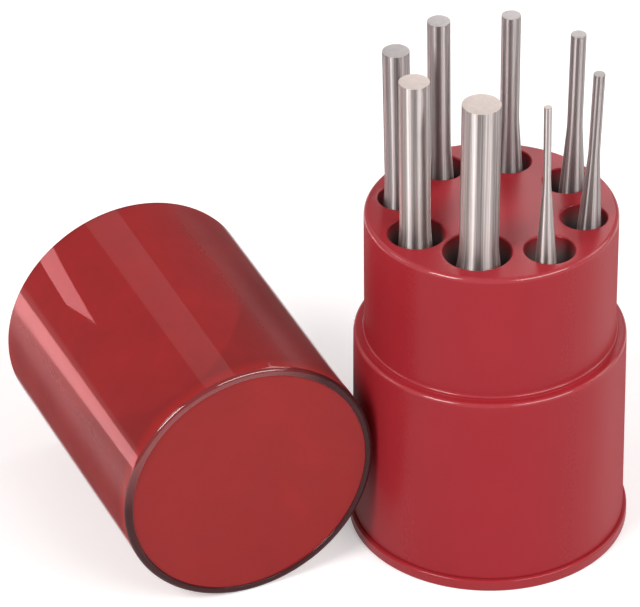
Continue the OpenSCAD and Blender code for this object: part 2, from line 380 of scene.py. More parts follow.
@dataclass(frozen=True)
class OpaqueRedMoulding:
    """Injection-moulded red styrene: deep even colour, smooth gloss, faint flow and orange-peel waviness.

    Rims that hands and the cap rub are paler and polished, which draws the lamps out as thin bright arcs.
    The sockets are dark with steel dust and oil. Seen edge-on, the fine waviness hides one part behind
    The sockets turn grey-brown and darker below the mouth, as painted shade. Seen edge-on, the fine
    waviness hides one part behind another and spreads the pale table's reflection, so the gloss falls off
    towards the outline.
    """

    name: str = "moulded_red_styrene"
    body: str = "#A1272F"
    flow: str = "#A92B33"
    rubbed: str = "#B03D44"
    # Painted shade: the grey-brown that the socket walls take below the mouth.
    socket: str = "#7C6D6B"
    roughness: tuple[float, float] = (0.16, 0.26)
    rubbed_roughness: float = 0.04
    socket_roughness: float = 0.3
    grazing_roughness: float = 0.5
    grazing_power: float = 2.0
    ior: float = 1.5
    shine: float = 0.18
    rim_roughness: float = 0.06
    flow_grain: Grain = Grain(14 * MM, 3.0, 0.55)
    peel_grain: Grain = Grain(2.2 * MM, 2.0, 0.5)
    fine_grain: Grain = Grain(0.7 * MM, 4.0, 0.7)
    peel_height: float = 0.009 * MM
    peel_strength: float = 0.35

    def build(self) -> bpy.types.Material:
        """Builds the material.

        Returns:
            The new material.
        """
        material, tree, out = blank_material(self.name)
        place = add_node(tree, "ShaderNodeTexCoord").outputs["Object"]
        flow, peel, fine = (
            add_node(tree, "ShaderNodeTexNoise", grain.at(place)).outputs["Fac"]
            for grain in (self.flow_grain, self.peel_grain, self.fine_grain)
        )
        wear, shade = (
            add_node(tree, "ShaderNodeAttribute", attribute_name=mark.value).outputs["Fac"]
            for mark in (Mark.EDGE, Mark.SHADE)
        )
        broken = add_node(tree, "ShaderNodeMath", {0: wear, 1: fine}, operation="MULTIPLY").outputs[0]
        colour = linear(self.body)
        # The last mix, by the inside_shade mark, lays the painted shade on the socket walls.
        for share, over in ((flow, self.flow), (broken, self.rubbed), (shade, self.socket)):
            colour = add_node(
                tree,
                "ShaderNodeMix",
                {"Factor": share, "A": colour, "B": linear(over)},
                data_type="RGBA",
            ).outputs["Result"]
        low, high = self.roughness
        rough = add_node(
            tree, "ShaderNodeMapRange", {"Value": fine, "To Min": low, "To Max": high}
        ).outputs[0]
        facing = add_node(tree, "ShaderNodeLayerWeight").outputs["Facing"]
        edge_on = add_node(
            tree, "ShaderNodeMath", {0: facing, 1: self.grazing_power}, operation="POWER"
        ).outputs[0]
        for share, more in (
            (wear, self.rubbed_roughness),
            (shade, self.socket_roughness),
            (edge_on, self.grazing_roughness),
        ):
            rough = add_node(
                tree, "ShaderNodeMath", {0: share, 1: more, 2: rough}, operation="MULTIPLY_ADD"
            ).outputs[0]
        bump = add_node(
            tree,
            "ShaderNodeBump",
            {"Strength": self.peel_strength, "Distance": self.peel_height, "Height": peel},
        )
        shader = add_node(
            tree,
            "ShaderNodeBsdfPrincipled",
            {
                "Base Color": colour,
                "Roughness": rough,
                "IOR": self.ior,
                "Specular IOR Level": self.shine,
                "Coat Weight": wear,
                "Coat Roughness": self.rim_roughness,
                "Normal": bump.outputs["Normal"],
            },
        )
        tree.links.new(shader.outputs["BSDF"], out.inputs["Surface"])
        return material


@dataclass(frozen=True)
class ClearRedMoulding:
    """See-through deep red acrylic: polished, tinted in its depth, with painted shade on its thick rim.

    Acrylic has an IOR of 1.49. It is 1.36 here, with a low shine and a dull band before the outline,
    because the photograph's table shows much more faintly in the cap than a plain white one does. The
    band ends in a crisp outline. The rim round the closed end is painted dark as painted shade, and
    lighter on the side that faces the lamps, where it also gleams. The closed end's wall is painted a
    lighter red, as painted light that stands for light coming through the cap.
    """

    name: str = "clear_red_acrylic"
    tint: str = "#C4393A"
    smear: str = "#A43133"
    # Painted light: the lighter red of the closed end's wall, for light that comes through the cap.
    painted_light_end_tint: str = "#E03A39"
    painted_light_end_smear: str = "#CA3637"
    # Painted shade: the dark colour of the rim round the closed end.
    rim: str = "#5C3034"
    roughness: tuple[float, float] = (0.03, 0.09)
    handled: tuple[float, float] = (0.5, 0.75)
    ior: float = 1.36
    shine: float = 0.2
    clearness: float = 0.52
    grazing_roughness: float = 0.7
    dull_band: tuple[float, float] = (0.48, 0.74)
    outline: tuple[float, float] = (0.86, 0.93)
    outline_roughness: float = 0.1
    rim_roughness: float = 0.05
    rim_ior: float = 1.6
    smear_grain: Grain = Grain(11 * MM, 4.0, 0.6)
    fine_grain: Grain = Grain(0.9 * MM, 3.0, 0.6)
    ripple_height: float = 0.0015 * MM
    ripple_strength: float = 0.02
    depth_colour: tuple[float, float, float, float] = (0.7, 0.03, 0.04, 1.0)
    depth_density: float = 900.0

    def build(self) -> bpy.types.Material:
        """Builds the material.

        Returns:
            The new material.
        """
        material, tree, out = blank_material(self.name)
        place = add_node(tree, "ShaderNodeTexCoord").outputs["Object"]
        smear, fine = (
            add_node(tree, "ShaderNodeTexNoise", grain.at(place)).outputs["Fac"]
            for grain in (self.smear_grain, self.fine_grain)
        )
        end, rim, gleam = (
            add_node(tree, "ShaderNodeAttribute", attribute_name=mark.value).outputs["Fac"]
            for mark in (Mark.FACE, Mark.SHADE, Mark.EDGE)
        )
        side, flat = (
            add_node(
                tree,
                "ShaderNodeMix",
                {"Factor": smear, "A": linear(plain), "B": linear(smeared)},
                data_type="RGBA",
            ).outputs["Result"]
            for plain, smeared in ((self.tint, self.smear), (self.painted_light_end_tint, self.painted_light_end_smear))
        )
        # Painted light on the closed end's wall, by the end_face mark, and painted shade on the rim, by
        # the inside_shade mark.
        colour = side
        for share, over in ((end, flat), (rim, linear(self.rim))):
            colour = add_node(
                tree, "ShaderNodeMix", {"Factor": share, "A": colour, "B": over}, data_type="RGBA"
            ).outputs["Result"]
        facing = add_node(tree, "ShaderNodeLayerWeight").outputs["Facing"]
        handled, edge_on, outline = (
            add_node(
                tree,
                "ShaderNodeMapRange",
                {"Value": value, "From Min": start, "From Max": full, "To Min": low, "To Max": high},
                interpolation_type=shape,
            ).outputs[0]
            for value, (start, full), (low, high), shape in (
                (smear, self.handled, self.roughness, "LINEAR"),
                (facing, self.dull_band, (0.0, 1.0), "SMOOTHSTEP"),
                (facing, self.outline, (1.0, self.outline_roughness), "LINEAR"),
            )
        )
        edge_on = add_node(
            tree, "ShaderNodeMath", {0: edge_on, 1: outline}, operation="MULTIPLY"
        ).outputs[0]
        rough = add_node(
            tree,
            "ShaderNodeMath",
            {0: edge_on, 1: self.grazing_roughness, 2: handled},
            operation="MULTIPLY_ADD",
        ).outputs[0]
        bump = add_node(
            tree,
            "ShaderNodeBump",
            {"Strength": self.ripple_strength, "Distance": self.ripple_height, "Height": fine},
        )
        shader = add_node(
            tree,
            "ShaderNodeBsdfPrincipled",
            {
                "Base Color": colour,
                "Roughness": rough,
                "IOR": self.ior,
                "Specular IOR Level": self.shine,
                "Transmission Weight": self.clearness,
                "Coat Weight": gleam,
                "Coat Roughness": self.rim_roughness,
                "Coat IOR": self.rim_ior,
                "Normal": bump.outputs["Normal"],
            },
        )
        depth = add_node(
            tree,
            "ShaderNodeVolumeAbsorption",
            {"Color": self.depth_colour, "Density": self.depth_density},
        )
        tree.links.new(shader.outputs["BSDF"], out.inputs["Surface"])
        tree.links.new(depth.outputs["Volume"], out.inputs["Volume"])
        return material


@dataclass(frozen=True)
class GroundSteel:
    """Hardened tool steel, ground round on centres: fine rings draw each light out along the bar.

    The rings are about 0.1 mm apart on the real bar, and are drawn 0.3 mm apart so that they show close
    up. The knurl's grooves are coloured darker, the more so the deeper they are sunk.
    """

    name: str = "ground_tool_steel"
    bright: str = "#E8DFDC"
    drawn: str = "#AFA29F"
    # Colour of the knurl's grooves, mixed in the more the deeper they are sunk.
    groove: str = "#4A4241"
    roughness: tuple[float, float] = (0.46, 0.56)
    stretch: float = 1.0
    ring_size: tuple[float, float] = (0.3 * MM, 40 * MM)
    ring_height: float = 0.004 * MM
    ring_strength: float = 0.1
    streak_size: tuple[float, float] = (60 * MM, 0.5 * MM)
    streaks: tuple[float, float] = (0.35, 0.65)
    stain_grain: Grain = Grain(6 * MM, 3.0, 0.6)

    def build(self) -> bpy.types.Material:
        """Builds the material.

        Returns:
            The new material.
        """
        material, tree, out = blank_material(self.name)
        uv = add_node(tree, "ShaderNodeUVMap", uv_map=TURNED_UV).outputs["UV"]
        place = add_node(tree, "ShaderNodeTexCoord").outputs["Object"]
        stain = add_node(tree, "ShaderNodeTexNoise", self.stain_grain.at(place)).outputs["Fac"]
        low, high = self.streaks
        streak = add_node(
            tree,
            "ShaderNodeMapRange",
            {"Value": uv_noise(tree, uv, self.streak_size), "From Min": low, "From Max": high},
        ).outputs[0]
        groove = add_node(tree, "ShaderNodeAttribute", attribute_name=Mark.KNURL.value).outputs["Fac"]
        colour = linear(self.bright)
        for share, over in ((streak, self.drawn), (groove, self.groove)):
            colour = add_node(
                tree,
                "ShaderNodeMix",
                {"Factor": share, "A": colour, "B": linear(over)},
                data_type="RGBA",
            ).outputs["Result"]
        low, high = self.roughness
        rough = add_node(
            tree, "ShaderNodeMapRange", {"Value": stain, "To Min": low, "To Max": high}
        ).outputs[0]
        rings = uv_noise(tree, uv, self.ring_size)
        bump = add_node(
            tree,
            "ShaderNodeBump",
            {"Strength": self.ring_strength, "Distance": self.ring_height, "Height": rings},
        )
        lay = add_node(tree, "ShaderNodeTangent", direction_type="UV_MAP", uv_map=TURNED_UV)
        shader = add_node(
            tree,
            "ShaderNodeBsdfPrincipled",
            {
                "Base Color": colour,
                "Metallic": 1.0,
                "Roughness": rough,
                "Anisotropic": self.stretch,
                "Normal": bump.outputs["Normal"],
                "Tangent": lay.outputs["Tangent"],
            },
        )
        tree.links.new(shader.outputs["BSDF"], out.inputs["Surface"])
        return material


@dataclass(frozen=True)
class FacedSteel:
    """The flat ends of a steel punch: faced off with a fine stone, pale, evenly matt, lightly patched."""

    name: str = "stoned_end_face"
    pale: str = "#F4E8E3"
    worn: str = "#E2D4CE"
    roughness: tuple[float, float] = (0.66, 0.78)
    ring_size: tuple[float, float] = (0.3 * MM, 20 * MM)
    ring_height: float = 0.006 * MM
    ring_strength: float = 0.2
    patch_grain: Grain = Grain(1.2 * MM, 3.0, 0.6)

    def build(self) -> bpy.types.Material:
        """Builds the material.

        Returns:
            The new material.
        """
        material, tree, out = blank_material(self.name)
        uv = add_node(tree, "ShaderNodeUVMap", uv_map=TURNED_UV).outputs["UV"]
        place = add_node(tree, "ShaderNodeTexCoord").outputs["Object"]
        patches = add_node(tree, "ShaderNodeTexNoise", self.patch_grain.at(place)).outputs["Fac"]
        colour = add_node(
            tree,
            "ShaderNodeMix",
            {"Factor": patches, "A": linear(self.pale), "B": linear(self.worn)},
            data_type="RGBA",
        ).outputs["Result"]
        low, high = self.roughness
        rough = add_node(
            tree, "ShaderNodeMapRange", {"Value": patches, "To Min": low, "To Max": high}
        ).outputs[0]
        rings = uv_noise(tree, uv, self.ring_size)
        bump = add_node(
            tree,
            "ShaderNodeBump",
            {"Strength": self.ring_strength, "Distance": self.ring_height, "Height": rings},
        )
        shader = add_node(
            tree,
            "ShaderNodeBsdfPrincipled",
            {
                "Base Color": colour,
                "Metallic": 1.0,
                "Roughness": rough,
                "Normal": bump.outputs["Normal"],
            },
        )
        tree.links.new(shader.outputs["BSDF"], out.inputs["Surface"])
        return material


def uv_noise(
    tree: bpy.types.NodeTree, uv: bpy.types.NodeSocket, size: tuple[float, float]
) -> bpy.types.NodeSocket:
    """Adds a noise on the turned UV, stretched to one size along the profile and another round the axis.

    Args:
        tree: Node tree that takes the nodes.
        uv: Socket of the turned UV map.
        size: Size of the pattern along the profile and round the axis, in metres.

    Returns:
        The noise's value socket.
    """
    along, around = size
    stretched = add_node(
        tree, "ShaderNodeMapping", {"Vector": uv, "Scale": (1 / along, 1 / around, 1.0)}
    ).outputs["Vector"]
    unit = Grain(size=1.0, octaves=3.0, breakup=0.6)
    return add_node(tree, "ShaderNodeTexNoise", unit.at(stretched)).outputs["Fac"]


def blank_material(name: str) -> tuple[bpy.types.Material, bpy.types.NodeTree, bpy.types.Node]:
    """Makes a material with an empty node tree and its output node.

    Args:
        name: Name of the material.

    Returns:
        The material, its node tree and the output node.
    """
    material = bpy.data.materials.new(name)
    material.use_nodes = True
    material.node_tree.nodes.clear()
    out = add_node(material.node_tree, "ShaderNodeOutputMaterial")
    return material, material.node_tree, out


# ----------------------------------------------------------------------------------- sub-assemblies
#
# A field that ends in pad is the distance from a corner to the first row of the flat beside it, which
# keeps the flat's shading even.


def stood_at(start: Vector, way: Vector) -> Matrix:
    """Matrix that carries the origin to a place and +Z to a direction."""
    return Matrix.Translation(start) @ way.to_track_quat("Z", "Y").to_matrix().to_4x4()


def mount(name: str) -> tuple[Vector, Vector]:
    """Middle and direction of one of the record's mounts."""
    found = next(m for m in frame["record"]["mounts"] if m["name"] == name)
    return Vector(found["pos_m"]), Vector(found["axis"]).normalized()


@dataclass(frozen=True)
class Socket:
    """One socket of the holder: its direction, distance from the axis and diameter."""

    angle: float
    ring: float
    diameter: float

    def centre(self) -> tuple[float, float]:
        """Centre of the socket seen from above."""
        a = math.radians(self.angle)
        return self.ring * math.cos(a), self.ring * math.sin(a)


@dataclass
class Holder:
    """The two-step holder moulding with its eight sockets, and the foot plate under it.

    A socket's pair is its distance from the axis and its diameter.
    """

    upper_r: float = 26.16 * MM
    lower_r_top: float = 28.425 * MM
    lower_r_low: float = 28.725 * MM
    height: float = 75.7 * MM
    shoulder_h: float = 46.7 * MM
    top_round: float = 0.95 * MM
    shoulder_round: float = 0.75 * MM
    ledge_out: float = 0.4 * MM
    ledge_h: float = 0.8 * MM
    ledge_round: float = 0.38 * MM
    bottom_round: float = 0.25 * MM
    recess_r: float = 24.3 * MM
    recess_h: float = 2.0 * MM
    recess_round: float = 0.3 * MM
    recess_pad: float = 0.5 * MM
    lower_pad: float = 0.6 * MM
    ledge_foot_round: float = 0.2 * MM
    upper_foot_round: float = 0.1 * MM
    upper_pad: float = 0.5 * MM
    pad: float = 0.3 * MM
    foot_r: float = 29.53 * MM
    foot_h: float = 2.6 * MM
    foot_round: float = 0.45 * MM
    foot_middle: float = 4.0 * MM
    spigot_r: float = 24.0 * MM
    spigot_h: float = 1.7 * MM
    spigot_bevel: float = 0.3 * MM
    spigot_pad: float = 0.4 * MM
    floor_h: float = 8.6 * MM
    floor_round: float = 0.5 * MM
    floor_pad: float = 0.8 * MM
    mouth_round: float = 0.35 * MM
    mouth_pad: float = 0.4 * MM
    weld: float = 0.002 * MM
    segments: int = 288
    socket_sides: int = 96
    first_angle: float = -102.5
    wide_step: float = 49.0
    socket_5_16: tuple[float, float] = (15.8 * MM, 14.0 * MM)
    socket_1_4: tuple[float, float] = (17.7 * MM, 11.8 * MM)
    middle_socket: tuple[float, float] = (19.0 * MM, 9.6 * MM)
    socket_1_16: tuple[float, float] = (18.8 * MM, 10.4 * MM)
    wear_inset: float = 0.3
    wear_full: float = 2.0
    wear_fall: float = 2.6
    mouth_wear: float = 0.4
    mouth_wear_depth: float = 0.2 * MM
    foot_wear: float = 0.5
    foot_wear_reach: float = 0.8 * MM
    # Painted shade: the socket wall turns grey-brown from this depth below the mouth, over the next
    # reach.
    shade_from: float = 0.3 * MM
    shade_reach: float = 3.5 * MM

    def sockets(self) -> list[Socket]:
        """The eight sockets from 5/16 inch clockwise to 1/16 inch.

        Returns:
            The sockets in order.
        """
        small = (360 - 2 * self.wide_step) / 6
        next_angle = self.first_angle - self.wide_step
        sizes = (self.socket_1_4, *[self.middle_socket] * 5, self.socket_1_16)
        rest = [Socket(next_angle - n * small, *size) for n, size in enumerate(sizes)]
        return [Socket(self.first_angle, *self.socket_5_16), *rest]

    def shell(self) -> Surface:
        """Outside of the moulding, turned round Z: recess, lower section, shoulder, upper section, rim.

        Returns:
            The surface, open at the top face.
        """
        s, foot, top = self.shoulder_round, self.foot_h, self.height
        ledge_r, ledge_z = self.upper_r + self.ledge_out, self.shoulder_h + self.ledge_h
        lean = (self.lower_r_low - self.lower_r_top) / (self.shoulder_h - foot)
        low_r = self.lower_r_low - lean * self.bottom_round
        e, b, t = self.ledge_round, self.bottom_round, self.top_round
        n, f, u = self.recess_round, self.ledge_foot_round, self.upper_foot_round
        lower_top = (self.lower_r_top, self.shoulder_h - s - self.pad)
        upper_foot = (self.upper_r, ledge_z + self.upper_pad)
        profile = np.vstack(
            [
                [[0, foot + self.recess_h]],
                arc(self.recess_r - n, foot + self.recess_h - n, n, 90, 0, 3),
                [[self.recess_r, foot]],
                ramp((self.recess_r + self.recess_pad, foot), (low_r - b, foot), 3),
                arc(low_r - b, foot + b, b, -90, 0, 5),
                ramp((low_r, foot + self.lower_pad), lower_top, 14),
                arc(self.lower_r_top - s, self.shoulder_h - s, s, 0, 90, 8),
                arc(ledge_r + f, self.shoulder_h + f, f, -90, -180, 4),
                arc(ledge_r - e, ledge_z - e, e, 0, 90, 6),
                arc(self.upper_r + u, ledge_z + u, u, -90, -180, 3),
                ramp(upper_foot, (self.upper_r, top - t - self.pad), 10),
                arc(self.upper_r - t, top - t, t, 0, 90, 9),
            ]
        )
        made = revolve(profile, self.segments)
        r, z = made.radii(), made.points[:, 2]
        near = [
            np.hypot(r - c + self.wear_inset * a, z - h + self.wear_inset * a) / a
            for c, h, a in (
                (self.upper_r, top, t), (ledge_r, ledge_z, e), (self.lower_r_top, self.shoulder_h, s)
            )
        ]
        wear = self.wear_full - self.wear_fall * np.min(near, 0)
        made.marks[Mark.EDGE] = np.clip(wear, 0, 1)
        return made

    def socket_wall(self, socket: Socket) -> Surface:
        """Inside of one socket: mouth rounding, wall and floor, turned round the socket's axis.

        Args:
            socket: Which socket.

        Returns:
            The surface, facing the socket's air.
        """
        half, m, f = socket.diameter / 2, self.mouth_round, self.floor_round
        wall = (half, self.height - m - self.mouth_pad), (half, self.floor_h + self.floor_pad)
        profile = np.vstack(
            [
                arc(half + m, self.height - m, m, 90, 180, 5),
                ramp(*wall, 18),
                arc(half - f, self.floor_h + f, f, 0, -90, 4),
                [[0, self.floor_h]],
            ]
        )
        made = revolve(profile, self.socket_sides)
        depth = self.height - made.points[:, 2]
        # Painted shade on the socket wall, growing with depth below the mouth.
        made.marks[Mark.SHADE] = np.clip((depth - self.shade_from) / self.shade_reach, 0, 1)
        rubbed = np.clip(1 - np.abs(depth / self.mouth_wear_depth - 1), 0, 1)
        made.marks[Mark.EDGE] = self.mouth_wear * rubbed
        return made.moved(Matrix.Translation((*socket.centre(), 0)))

    def build_moulding(self, material: bpy.types.Material) -> bpy.types.Object:
        """Builds the holder moulding as one closed piece and puts it in place of its CAD node.

        Args:
            material: Finish of the moulding.

        Returns:
            The piece.
        """
        holes = [(*s.centre(), s.diameter / 2 + self.mouth_round) for s in self.sockets()]
        sides = self.segments, self.socket_sides
        plate = flat_plate(self.upper_r - self.top_round, holes, self.height, sides)
        whole = self.shell().joined(plate)
        for socket in self.sockets():
            whole = whole.joined(self.socket_wall(socket))
        made = make_object("holder_moulding", whole, material, weld=self.weld)
        return stands_for(made, CadNode.HOLDER.value, "holder")

    def build_foot(self, material: bpy.types.Material) -> bpy.types.Object:
        """Builds the foot plate with its spigot and puts it in place of its CAD node.

        Args:
            material: Finish of the plate.

        Returns:
            The piece.
        """
        f, b, top = self.foot_round, self.spigot_bevel, self.foot_h
        end = top + self.spigot_h
        profile = np.vstack(
            [
                [[0, 0]],
                ramp((self.foot_middle, 0), (self.foot_r - f, 0), 6),
                arc(self.foot_r - f, f, f, -90, 0, 6),
                arc(self.foot_r - f, top - f, f, 0, 90, 6),
                [[self.spigot_r + self.spigot_pad, top], [self.spigot_r, top]],
                [[self.spigot_r, end - b], [self.spigot_r - b, end], [0, end]],
            ]
        )
        whole = revolve(profile, self.segments)
        r, z = whole.radii() - self.foot_r, whole.points[:, 2]
        near = np.minimum(np.hypot(r, z), np.hypot(r, z - top))
        rubbed = np.clip(1 - near / self.foot_wear_reach, 0, 1)
        whole.marks[Mark.EDGE] = self.foot_wear * rubbed
        whole.marks[Mark.SHADE] = np.zeros(len(r))
        made = make_object("foot_disc", whole, material)
        return stands_for(made, CadNode.FOOT_PLATE.value, "holder")


@dataclass
class Cap:
    """The see-through cap: a round cup with a rim round its closed end, lying on its side."""

    length: float = 67.1 * MM
    r_mouth: float = 28.05 * MM
    r_end: float = 27.6 * MM
    bore_r: float = 26.7 * MM
    end_wall: float = 1.5 * MM
    end_recess: float = 0.5 * MM
    rim_width: float = 1.7 * MM
    edge_round: float = 0.9 * MM
    rim_round: float = 0.4 * MM
    rim_foot_round: float = 0.1 * MM
    corner: float = 1.2 * MM
    lip_round: float = 0.3 * MM
    middle: float = 3.0 * MM
    pad: float = 0.3 * MM
    wide_pad: float = 0.4 * MM
    # Where the rim faces bright_way, the side of the lamps, its painted shade is lighter and its coat
    # gleams.
    bright_way: tuple[float, float, float] = (-0.386, -0.166, 0.908)
    gleam_from: float = 0.45
    gleam_reach: float = 0.35
    lit_rim_shade_fade: float = 0.9
    segments: int = 320

    def frame_matrix(self) -> Matrix:
        """Place of the cap, worked out from its bore in the record: closed end at z = 0, mouth at +Z.

        Returns:
            The matrix that carries the turned cap to where it lies.
        """
        middle, way = mount("cap_socket")
        half = math.atan((self.r_mouth - self.r_end) / self.length)
        rest_z = self.r_end * math.cos(half)
        return stood_at(middle - way * ((middle.z - rest_z) / way.z), way)

    def build(self, material: bpy.types.Material) -> bpy.types.Object:
        """Builds the cap as one closed wall and puts it in place of its CAD node.

        Args:
            material: Finish of the cap.

        Returns:
            The piece.
        """
        e, lip, c = self.edge_round, self.lip_round, self.corner
        rim, f, recess = self.rim_round, self.rim_foot_round, self.end_recess
        inner_end = recess + self.end_wall
        step = self.r_end - self.rim_width
        lip_z = self.length - lip
        profile = np.vstack(
            [
                [[0, recess]],
                ramp((self.middle, recess), (step - 2 * f, recess), 8),
                arc(step - f, recess - f, f, 90, 0, 3),
                arc(step + rim, rim, rim, 180, 270, 7),
                arc(self.r_end - e, e, e, -90, 0, 8),
                ramp((self.r_end, e + self.wide_pad), (self.r_mouth, lip_z - self.pad), 24),
                arc(self.r_mouth - lip, lip_z, lip, 0, 90, 5),
                arc(self.bore_r + lip, lip_z, lip, 90, 180, 5),
                ramp((self.bore_r, lip_z - self.pad), (self.bore_r, inner_end + c + self.pad), 22),
                arc(self.bore_r - c, inner_end + c, c, 0, -90, 8),
                ramp((self.bore_r - c - self.wide_pad, inner_end), (self.middle, inner_end), 8),
                [[0, inner_end]],
            ]
        )
        whole = revolve(profile, self.segments)
        r, z = whole.radii(), whole.points[:, 2]
        on_rim = (z < e) & (r > step - HAIR)
        in_end = (z < inner_end) & ~on_rim
        placed = whole.moved(self.frame_matrix())
        # Painted shade on the rim, lighter on the side that faces the lamps, where the coat's gleam goes
        # too.
        middle = placed.points[on_rim].mean(0)
        side = (placed.points - middle) @ np.array(self.bright_way) / self.r_end
        lit = np.clip((side - self.gleam_from) / self.gleam_reach, 0, 1)
        placed.marks[Mark.SHADE] = np.where(on_rim, 1.0 - self.lit_rim_shade_fade * lit, 0.0)
        placed.marks[Mark.EDGE] = np.where(on_rim, lit, 0.0)
        # Painted light: the closed end's wall takes the lighter end tint.
        placed.marks[Mark.FACE] = np.where(in_end, 1.0, 0.0)
        made = make_object("cap_shell", placed, material)
        return stands_for(made, CadNode.CAP.value, "cap")


@dataclass
class Punch:
    """One drive pin punch: straight pin, blend, taper, grip with a knurled band, and a bevelled head.

    The punches farther back take darker copies of the steel finishes, as painted shade. The head's crown
    falls from its middle through crown_rows, each a share of the grip's radius and of the whole fall.
    """

    size: str
    pin: float
    reach: float
    stock: float
    taper_rate: float = 0.14
    # Painted shade: a punch farther back takes darker copies of the steel finishes.
    painted_shade: bool = True
    length: float = 4 * INCH
    blend_r: float = 45.0 * MM
    plain_drop: float = 0.2 * MM
    knurl_start: float = 9.0 * MM
    knurl_length: float = 28.0 * MM
    head_bevel: float = 0.9 * MM
    head_crown: float = 0.15 * MM
    crown_rows: tuple[tuple[float, float], ...] = ((0.0, 0.0), (0.3, 0.15), (0.6, 0.5))
    tip_bevel: float = 0.12 * MM
    knurl_pitch: float = 1.0 * MM
    knurl_depth: float = 0.16 * MM
    steps_per_tooth: int = 6
    least_teeth: int = 8
    least_segments: int = 96
    groove_darkening: float = 0.7
    head_pad: float = 0.4 * MM
    band_pad: float = 0.3 * MM
    pin_pad: float = 0.5 * MM
    tip_pad: float = 0.2 * MM
    end_depth: float = 0.05 * MM

    def node_name(self) -> str:
        """Name of the punch's CAD node and body."""
        return f"punch_{self.size}"

    def frame_matrix(self) -> Matrix:
        """Place of the punch, worked out from its pin in the record: head at z = 0, tip at +Z.

        Returns:
            The matrix that carries the turned punch into its socket.
        """
        middle, way = mount(f"pin_{self.size}")
        return stood_at(middle - way * (self.length - self.reach / 2), way)

    def profile(self) -> tuple[Points, Points]:
        """Half section from the head's middle to the tip's middle, and which rows the knurled band has.

        Returns:
            Rows of (radius, height), and 1 for rows in the knurled band.
        """
        plain = (self.stock - self.plain_drop) / 2
        half = math.atan(self.taper_rate / 2)
        bend_z = self.length - self.reach
        bend_r = self.pin / 2 + self.blend_r
        low_r = bend_r - self.blend_r * math.cos(half)
        low_z = bend_z - self.blend_r * math.sin(half)
        body_z = low_z - (plain - low_r) / math.tan(half)
        k0, k1 = self.knurl_start, self.knurl_start + self.knurl_length
        crown, bevel, t = self.head_crown, self.head_bevel, self.tip_bevel
        rows = int(self.knurl_length / self.knurl_pitch * self.steps_per_tooth)
        heights = np.linspace(k0 + self.plain_drop, k1, rows)
        band = np.column_stack([np.full(rows, self.stock / 2), heights])
        before = np.vstack(
            [
                np.array(self.crown_rows) * (plain, crown),
                arc(plain - bevel, crown + bevel, bevel, -90, 0, 5),
                ramp((plain, bevel + crown + self.head_pad), (plain, k0), 8),
                [[plain, k0]],
            ]
        )
        past, pin = k1 + self.plain_drop, self.pin / 2
        after = np.vstack(
            [
                [[plain, past]],
                ramp((plain, past + self.band_pad), (plain, body_z), 8),
                ramp((plain, body_z), (low_r, low_z), 14),
                arc(bend_r, bend_z, self.blend_r, 180 + math.degrees(half), 180, 10),
                ramp((pin, bend_z + self.pin_pad), (pin, self.length - t - self.tip_pad), 16),
                arc(pin - t, self.length - t, t, 0, 90, 4),
                [[pin / 2, self.length], [0, self.length]],
            ]
        )
        inside = np.concatenate([np.zeros(len(before)), np.ones(len(band)), np.zeros(len(after))])
        return np.vstack([before, band, after]), inside

    def build(self, material: bpy.types.Material, end_material: bpy.types.Material) -> bpy.types.Object:
        """Builds the punch as one closed turned piece and puts it in place of its CAD node.

        The knurl is a grid of small pyramids. With u and v the distances, in teeth, across two families
        of crossing spirals, the height is the smaller of two triangle waves: 1 halfway between whole
        numbers of u or of v, and 0 at them.

        Args:
            material: Finish of the turned sides.
            end_material: Finish of the two flat ends.

        Returns:
            The piece.
        """
        rows, band = self.profile()
        teeth = max(self.least_teeth, round(math.pi * self.stock / self.knurl_pitch))
        segments = max(self.least_segments, teeth * self.steps_per_tooth)

        def radius(row: Points, angle: Points) -> Points:
            """Radius of each point: the profile's, less the knurl's depth times its fall below a peak.

            Args:
                row: Column of row numbers of the profile.
                angle: Row of angles round the axis.

            Returns:
                A grid of radii.
            """
            z = rows[row, 1]
            turns = teeth * angle / (2 * np.pi)
            rise = (z - self.knurl_start) / self.knurl_pitch
            u, v = np.mod(turns + rise, 1), np.mod(turns - rise, 1)
            tooth = np.minimum(1 - np.abs(2 * u - 1), 1 - np.abs(2 * v - 1))
            return rows[row, 0] - band[row] * self.knurl_depth * (1 - tooth)

        whole = revolve(rows, segments, radius)
        z = whole.points[:, 2]
        up, edge = z - self.knurl_start, self.plain_drop / 2
        in_band = (up > edge) & (up < self.knurl_length + edge)
        sunk = np.clip((self.stock / 2 - whole.radii()) / self.knurl_depth, 0, 1)
        whole.marks[Mark.KNURL] = np.where(in_band, sunk * self.groove_darkening, 0)
        tip_z = self.length - self.end_depth
        whole.marks[Mark.FACE] = np.where(z > tip_z, 1.0, 0.0)
        made = make_object(f"{self.node_name()}_ground", whole.moved(self.frame_matrix()), material)
        faces = whole.quads, whole.tris
        ends = [(z[f].min(1) > tip_z) | (z[f].max(1) < self.head_crown) for f in faces]
        made.data.materials.append(end_material)
        made.data.polygons.foreach_set("material_index", np.concatenate(ends).astype(np.int32))
        return stands_for(made, self.node_name(), self.node_name())


def stands_for(piece: bpy.types.Object, node: str, body: str) -> bpy.types.Object:
    """Puts a piece in place of a CAD node: it rides on the body, and the node is hidden.

    Args:
        piece: The finished piece.
        node: CAD node that it replaces.
        body: CAD body that it rides on.

    Returns:
        The same piece.
    """
    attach(piece, body)
    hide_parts(node)
    LOG.info("%s: %d faces, rides on %s", piece.name, len(piece.data.polygons), body)
    return piece


# -------------------------------------------------------------------------------- camera and studio


